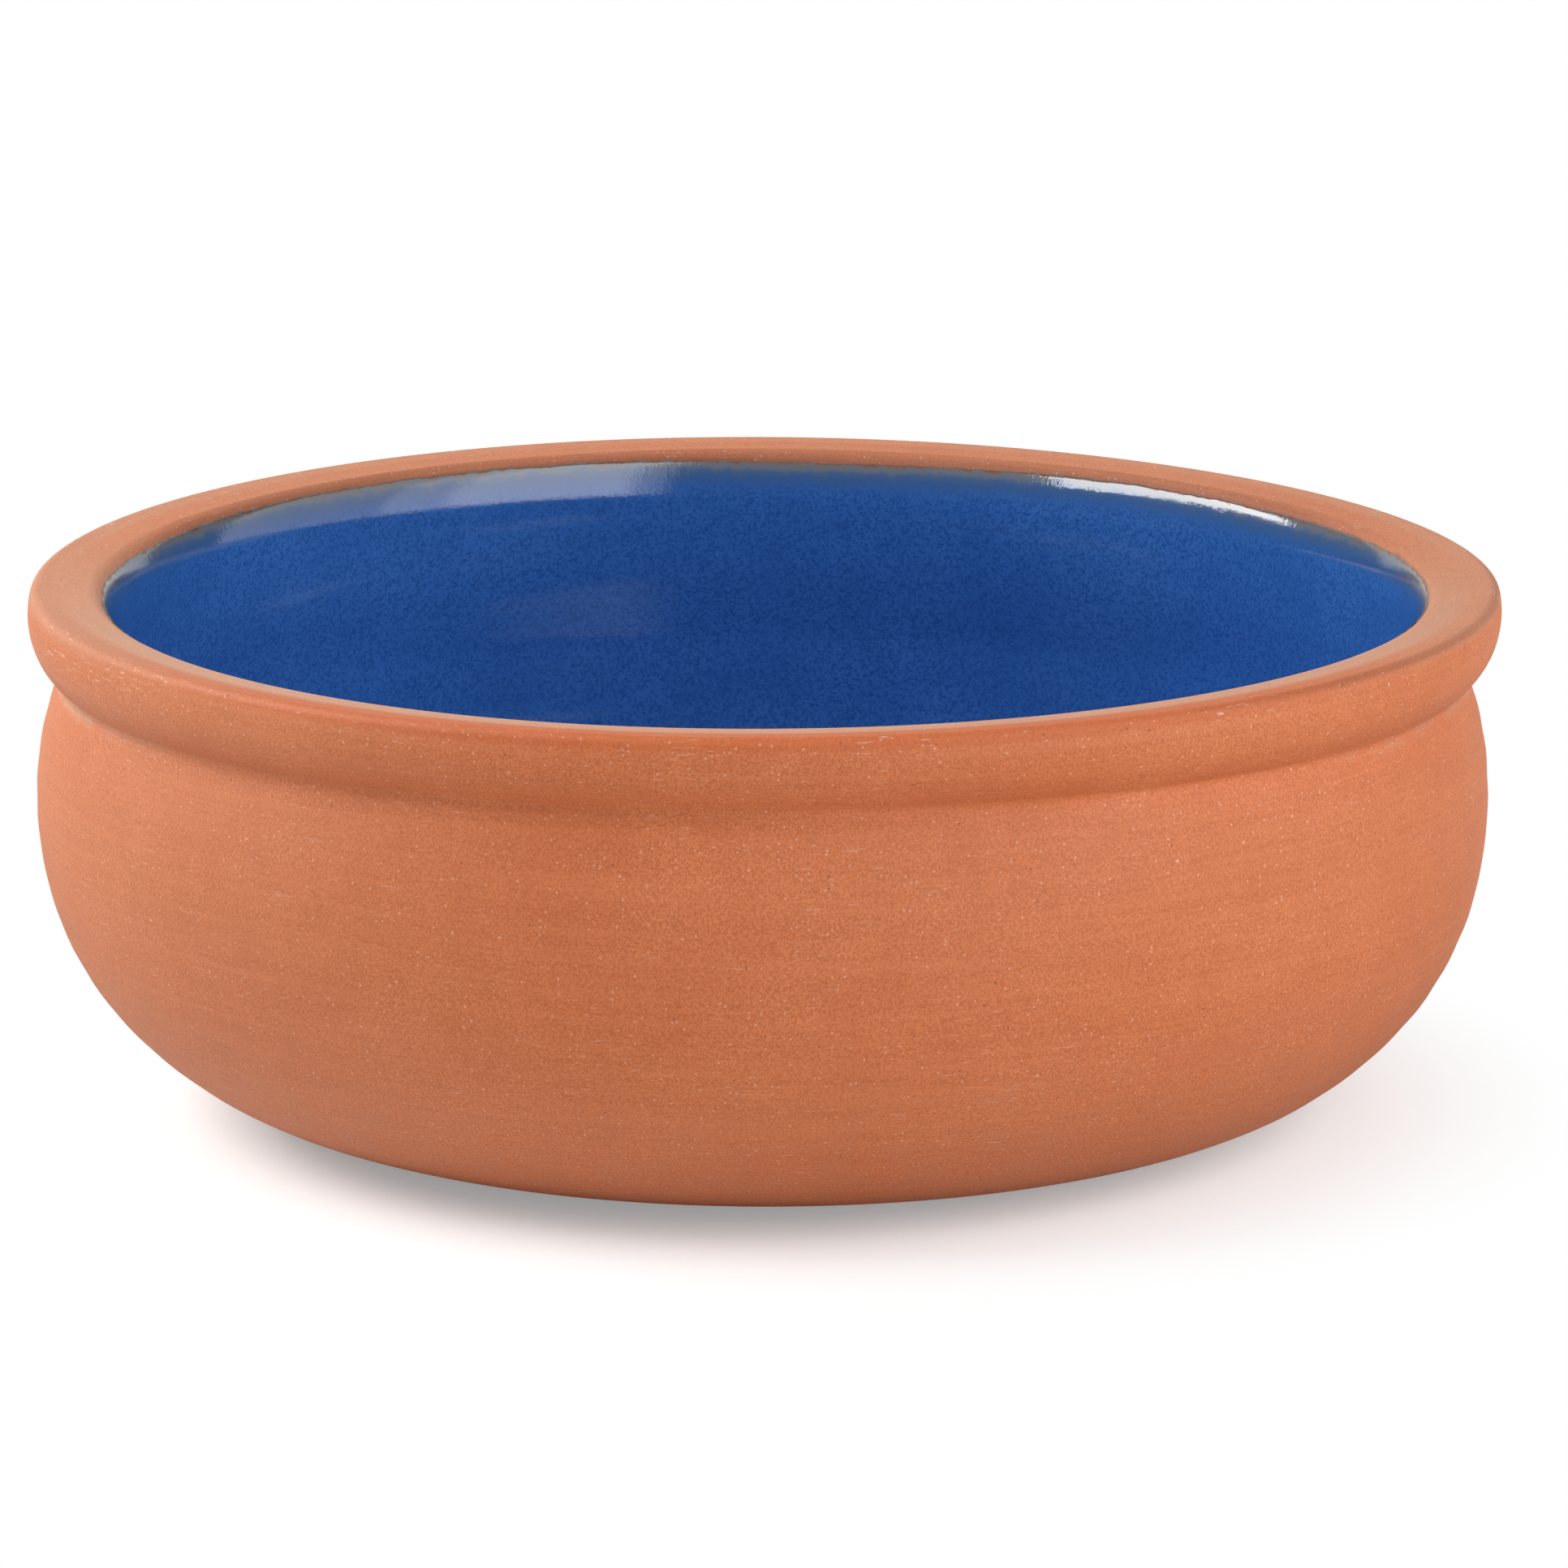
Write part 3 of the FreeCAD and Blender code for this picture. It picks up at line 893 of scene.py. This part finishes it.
def direction(azimuth, elevation):
    """From the dish towards a place: azimuth 0 is the camera's side, 90 its right."""
    turn = math.radians(azimuth)
    rise = math.radians(elevation)
    return Vector((math.sin(turn) * math.cos(rise), -math.cos(turn) * math.cos(rise), math.sin(rise)))


# Lamps that light the clay: azimuth and elevation in degrees, width and height in metres,
# and the brightness of the lamp's face.
SOFT_LAMPS = {
    "left_strip": (-91, 41, 1.25, 0.62, 7.2),
    "right_key": (46, 24, 1.12, 0.95, 3.05),
    "right_side": (90, 24, 0.80, 0.95, 1.42),
}

# Upright lamps that show only as reflections: their sides' azimuths in degrees, the heights
# of their lower and upper edges in metres, the brightness of the face, and how many degrees
# they lean to the side.
MIRRORED_LAMPS = {
    "left_mirror": (-122, -63, 0.76, 1.75, 13.0, 18.0),
    "edge_mirror": (18, 24, -0.3, 2.6, 2.0, 0.0),
    "right_mirror": (24, 60, -0.3, 2.6, 4.8, 0.0),
    "next_mirror": (60, 75, -0.3, 2.6, 3.0, 0.0),
    "side_mirror": (75, 92, -0.3, 2.6, 1.6, 0.0),
    "far_mirror": (92, 118, -0.3, 2.6, 1.5, 0.0),
}
LAMP_DISTANCE = 1.2


def add_softbox(name, azimuth, elevation, width, height, radiance):
    """A flat lamp that faces the dish, with the brightness of its face given."""
    light = bpy.data.lights.new(name, "AREA")
    light.shape = "RECTANGLE"
    light.size = width
    light.size_y = height
    light.energy = radiance * math.pi * width * height
    lamp = bpy.data.objects.new(name, light)
    way = direction(azimuth, elevation)
    lamp.location = way * LAMP_DISTANCE + Vector((0, 0, CAMERA_TARGET_HEIGHT))
    lamp.rotation_euler = way.to_track_quat("Z", "Y").to_euler()
    lamp.visible_camera = False
    bpy.context.scene.collection.objects.link(lamp)
    return lamp


def add_lights():
    """The lamps that light the clay, and those that show only in the glaze."""
    for name, values in SOFT_LAMPS.items():
        add_softbox(name, *values).visible_glossy = False
    for name, (first, last, low, high, radiance, lean) in MIRRORED_LAMPS.items():
        width = 2 * LAMP_DISTANCE * math.tan(math.radians(last - first) / 2)
        panel = add_softbox(name, (first + last) / 2, 0, width, high - low, radiance)
        panel.location.z = (low + high) / 2
        leaning = Quaternion((0, 0, 1), math.radians(lean))
        panel.rotation_euler = (panel.rotation_euler.to_quaternion() @ leaning).to_euler()
        panel.visible_diffuse = False


# The white room. Its light on the clay is dimmer on the near side. In reflections it has a far
# wall, whose edge is given by the way back over the way across, and whose low left part is
# dark: X and Z are parts of the direction that is looked in.
ROOM_LIGHT = 0.2
DARK_SIDE = 0.08
ROOM_BACK = (0.1, 0.6, DARK_SIDE, 1.0)
FAR_WALL_EDGE = (1.23, 1.29, DARK_SIDE, 1.0)
DARK_CORNER_X = (-0.2, -0.35)
DARK_CORNER_Z = (0.17, 0.07)


def add_world():
    """A white room for the camera and for reflections, and a dimmer one for the clay."""
    world = bpy.data.worlds.new("studio")
    bpy.context.scene.world = world
    world.use_nodes = True
    world.node_tree.nodes.clear()
    graph = Graph(world.node_tree)
    path = graph.add("ShaderNodeLightPath").outputs
    way = graph.parts(graph.add("ShaderNodeTexCoord").outputs["Generated"])
    across = graph.sum(graph.absolute(way["X"]), 0.001)
    far_wall = graph.span(graph.ratio(way["Y"], across), *FAR_WALL_EDGE)
    corner = graph.product(graph.span(way["X"], *DARK_CORNER_X), graph.span(way["Z"], *DARK_CORNER_Z))
    far_wall = graph.product(far_wall, graph.span(corner, 0.0, 1.0, 1.0, DARK_SIDE))
    dim = graph.product(graph.span(way["Y"], *ROOM_BACK), ROOM_LIGHT)
    rays = {0: path["Is Glossy Ray"], 1: path["Is Transmission Ray"]}
    mirrored = graph.add("ShaderNodeMath", rays, operation="MAXIMUM").outputs[0]
    room = graph.add("ShaderNodeMix", {0: mirrored, 2: dim, 3: far_wall}).outputs[0]
    light = graph.add("ShaderNodeMix", {0: path["Is Camera Ray"], 2: room, 3: 1.0}).outputs[0]
    white = graph.add("ShaderNodeBackground", {"Color": (1, 1, 1, 1), "Strength": light})
    output = graph.add("ShaderNodeOutputWorld")
    graph.link(white.outputs[0], output.inputs["Surface"])


# The floor's size in metres, its tone, the light it gives off near the dish, and the distances
# from the axis in metres over which it turns into plain white.
FLOOR_SIZE = 8.0
FLOOR_TONE = (0.85, 0.85, 0.85)
FLOOR_GLOW = 0.3
FLOOR_FADE = (0.06, 0.115)


def add_floor():
    """A plain white floor, which turns into plain white light away from the dish."""
    half = FLOOR_SIZE / 2
    mesh = bpy.data.meshes.new("floor")
    corners = [(-half, -half, 0), (half, -half, 0), (half, half, 0), (-half, half, 0)]
    mesh.from_pydata(corners, [], [(0, 1, 2, 3)])
    floor = bpy.data.objects.new("floor", mesh)
    bpy.context.scene.collection.objects.link(floor)
    material, graph, shader = new_material("white_floor")
    shader.inputs["Base Color"].default_value = (*FLOOR_TONE, 1.0)
    shader.inputs["Roughness"].default_value = 1.0
    shader.inputs["Specular IOR Level"].default_value = 0.0
    white = graph.add("ShaderNodeEmission", {"Color": (1, 1, 1, 1), "Strength": 1.0})
    place = graph.add("ShaderNodeTexCoord").outputs["Object"]
    distance = graph.add("ShaderNodeVectorMath", {0: place}, operation="LENGTH").outputs["Value"]
    seen = graph.add("ShaderNodeLightPath").outputs["Is Camera Ray"]
    share = graph.product(graph.span(distance, *FLOOR_FADE), seen)
    strength = graph.product(seen, FLOOR_GLOW)
    glow = graph.add("ShaderNodeEmission", {"Color": (1, 1, 1, 1), "Strength": strength})
    near = graph.add("ShaderNodeAddShader", {0: shader.outputs[0], 1: glow.outputs[0]})
    blend = graph.add("ShaderNodeMixShader", {0: share, 1: near.outputs[0], 2: white.outputs[0]})
    output = next(node for node in graph.tree.nodes if node.type == "OUTPUT_MATERIAL")
    graph.link(blend.outputs[0], output.inputs["Surface"])
    mesh.materials.append(material)


def add_camera():
    """The photograph's view: slightly from above, from far off with a long lens."""
    camera_data = bpy.data.cameras.new("camera")
    camera_data.lens = CAMERA_LENS
    camera_data.sensor_width = SENSOR_WIDTH
    camera = bpy.data.objects.new("camera", camera_data)
    target = Vector((0, 0, CAMERA_TARGET_HEIGHT - SETTLE * MM))
    way = direction(0, CAMERA_ELEVATION)
    rise = math.radians(CAMERA_ELEVATION)
    up = Vector((0, math.sin(rise), math.cos(rise)))
    aim = target + Vector((1, 0, 0)) * CAMERA_AIM_RIGHT + up * CAMERA_AIM_UP
    camera.location = (target + way * CAMERA_DISTANCE) * DRAWN_SCALE
    look = camera.location - aim * DRAWN_SCALE
    camera.rotation_euler = look.to_track_quat("Z", "Y").to_euler()
    bpy.context.scene.collection.objects.link(camera)
    bpy.context.scene.camera = camera


def main():
    draw = random.Random(SEED)
    waves = finger_waves(draw)
    section = Section(outside_stretches() + inside_stretches())
    make_clay(section, waves)
    make_glaze(section, waves, draw)
    add_floor()
    add_lights()
    add_world()
    add_camera()
    bpy.context.scene.view_settings.view_transform = "Standard"


main()
